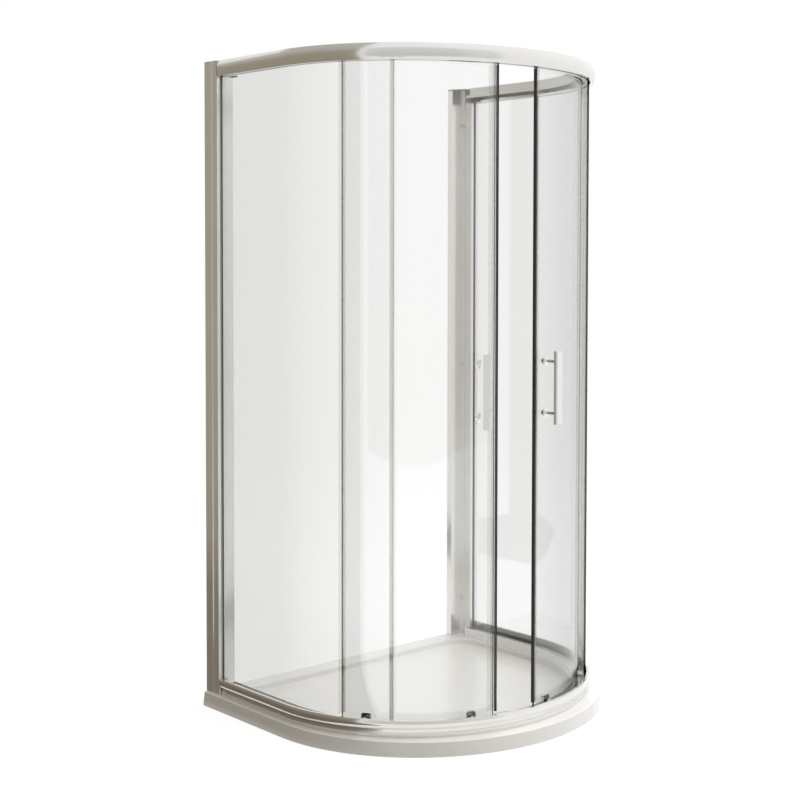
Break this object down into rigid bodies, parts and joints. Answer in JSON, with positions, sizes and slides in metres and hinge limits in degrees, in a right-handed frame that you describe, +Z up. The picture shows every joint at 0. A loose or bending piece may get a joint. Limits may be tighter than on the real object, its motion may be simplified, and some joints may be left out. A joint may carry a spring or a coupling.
{
  "type": "shower enclosure",
  "caption": "D-shaped shower enclosure with a low tray, curved fixed panels and curved sliding doors on rollers between bowed top and bottom rails, open on the wall side",
  "frame": {"origin": "centre of the bounding box at the underside of the tray", "axes": "+Z up, the wall is the plane at the +Y end, the curved front faces -Y, +X to the right seen from the front"},
  "size_m": [1.05, 0.9249, 1.89],
  "materials": {
    "tray": "gloss white, acrylic capped",
    "polished_frame": "polished silver",
    "end_cap": "satin grey moulding",
    "steel": "satin",
    "glass": "clear toughened",
    "gasket": "matt dark grey",
    "clear_seal": "translucent",
    "magnet": "matt black",
    "chrome_fittings": "bright chrome",
    "wheel": "white nylon"
  },
  "bodies": {
    "enclosure": {"shower_tray": "tray", "top_rail": "polished_frame", "bottom_rail": "polished_frame", "top_rail_end_caps": "end_cap", "bottom_rail_end_caps": "end_cap", "post_top_caps": "polished_frame", "frame_screws": "steel", "wall_channel_left": "polished_frame", "post_left": "polished_frame", "post_gasket_left": "gasket", "fixed_glass_left": "glass", "fixed_seal_left": "clear_seal", "door_buffer_left": "gasket", "wall_channel_right": "polished_frame", "post_right": "polished_frame", "post_gasket_right": "gasket", "fixed_glass_right": "glass", "fixed_seal_right": "clear_seal", "door_buffer_right": "gasket"},
    "door_left": {"door_glass_left": "glass", "door_edge_seal_left": "clear_seal", "door_magnet_seal_left": "clear_seal", "door_magnet_left": "magnet", "handle_bar_left": "chrome_fittings", "handle_posts_left": "chrome_fittings", "handle_screws_left": "chrome_fittings", "top_roller_axles_left": "steel", "top_roller_nuts_left": "chrome_fittings", "bottom_roller_axles_left": "steel", "bottom_roller_housings_left": "chrome_fittings"},
    "top_wheel_left_lead": {"top_wheel_left_lead": "wheel"},
    "bottom_wheel_left_lead": {"bottom_wheel_left_lead": "wheel"},
    "top_wheel_left_trail": {"top_wheel_left_trail": "wheel"},
    "bottom_wheel_left_trail": {"bottom_wheel_left_trail": "wheel"},
    "door_right": {"door_glass_right": "glass", "door_edge_seal_right": "clear_seal", "door_magnet_seal_right": "clear_seal", "door_magnet_right": "magnet", "handle_bar_right": "chrome_fittings", "handle_posts_right": "chrome_fittings", "handle_screws_right": "chrome_fittings", "top_roller_axles_right": "steel", "top_roller_nuts_right": "chrome_fittings", "bottom_roller_axles_right": "steel", "bottom_roller_housings_right": "chrome_fittings"},
    "top_wheel_right_lead": {"top_wheel_right_lead": "wheel"},
    "bottom_wheel_right_lead": {"bottom_wheel_right_lead": "wheel"},
    "top_wheel_right_trail": {"top_wheel_right_trail": "wheel"},
    "bottom_wheel_right_trail": {"bottom_wheel_right_trail": "wheel"}
  },
  "joints": [
    {"name": "door_left_slide_round", "type": "hinge", "parent": "enclosure", "child": "door_left", "pos_m": [0, 0.087, 0.965], "axis": [0, 0, 1], "range_deg": [-25, 15]},
    {"name": "top_wheel_left_lead_roll", "type": "hinge", "parent": "door_left", "child": "top_wheel_left_lead", "pos_m": [-0.1924, -0.35313, 1.8593], "axis": [0.4005, 0.9163, 0], "range_deg": [-1467, 889]},
    {"name": "bottom_wheel_left_lead_roll", "type": "hinge", "parent": "door_left", "child": "bottom_wheel_left_lead", "pos_m": [-0.1924, -0.35313, 0.072], "axis": [0.4005, 0.9163, 0], "range_deg": [-1786, 1080]},
    {"name": "top_wheel_left_trail_roll", "type": "hinge", "parent": "door_left", "child": "top_wheel_left_trail", "pos_m": [-0.41195, -0.16005, 1.8593], "axis": [0.8576, 0.5143, 0], "range_deg": [-1467, 889]},
    {"name": "bottom_wheel_left_trail_roll", "type": "hinge", "parent": "door_left", "child": "bottom_wheel_left_trail", "pos_m": [-0.41195, -0.16005, 0.072], "axis": [0.8576, 0.5143, 0], "range_deg": [-1786, 1080]},
    {"name": "door_right_slide_round", "type": "hinge", "parent": "enclosure", "child": "door_right", "pos_m": [0, 0.087, 0.965], "axis": [0, 0, 1], "range_deg": [0, 40]},
    {"name": "top_wheel_right_lead_roll", "type": "hinge", "parent": "door_right", "child": "top_wheel_right_lead", "pos_m": [0.07193, -0.38793, 1.8593], "axis": [-0.1498, 0.9887, 0], "range_deg": [-20, 2335]},
    {"name": "bottom_wheel_right_lead_roll", "type": "hinge", "parent": "door_right", "child": "bottom_wheel_right_lead", "pos_m": [0.07193, -0.38793, 0.072], "axis": [-0.1498, 0.9887, 0], "range_deg": [-20, 2846]},
    {"name": "top_wheel_right_trail_roll", "type": "hinge", "parent": "door_right", "child": "top_wheel_right_trail", "pos_m": [0.33397, -0.25826, 1.8593], "axis": [-0.6953, 0.7188, 0], "range_deg": [-20, 2335]},
    {"name": "bottom_wheel_right_trail_roll", "type": "hinge", "parent": "door_right", "child": "bottom_wheel_right_trail", "pos_m": [0.33397, -0.25826, 0.072], "axis": [-0.6953, 0.7188, 0], "range_deg": [-20, 2846]}
  ],
  "couplings": [
    {"joint": "top_wheel_left_lead_roll", "follows": "door_left_slide_round", "ratio": 57.873},
    {"joint": "bottom_wheel_left_lead_roll", "follows": "door_left_slide_round", "ratio": 70.64},
    {"joint": "top_wheel_left_trail_roll", "follows": "door_left_slide_round", "ratio": 57.873},
    {"joint": "bottom_wheel_left_trail_roll", "follows": "door_left_slide_round", "ratio": 70.64},
    {"joint": "top_wheel_right_lead_roll", "follows": "door_right_slide_round", "ratio": 57.873},
    {"joint": "bottom_wheel_right_lead_roll", "follows": "door_right_slide_round", "ratio": 70.64},
    {"joint": "top_wheel_right_trail_roll", "follows": "door_right_slide_round", "ratio": 57.873},
    {"joint": "bottom_wheel_right_trail_roll", "follows": "door_right_slide_round", "ratio": 70.64}
  ]
}
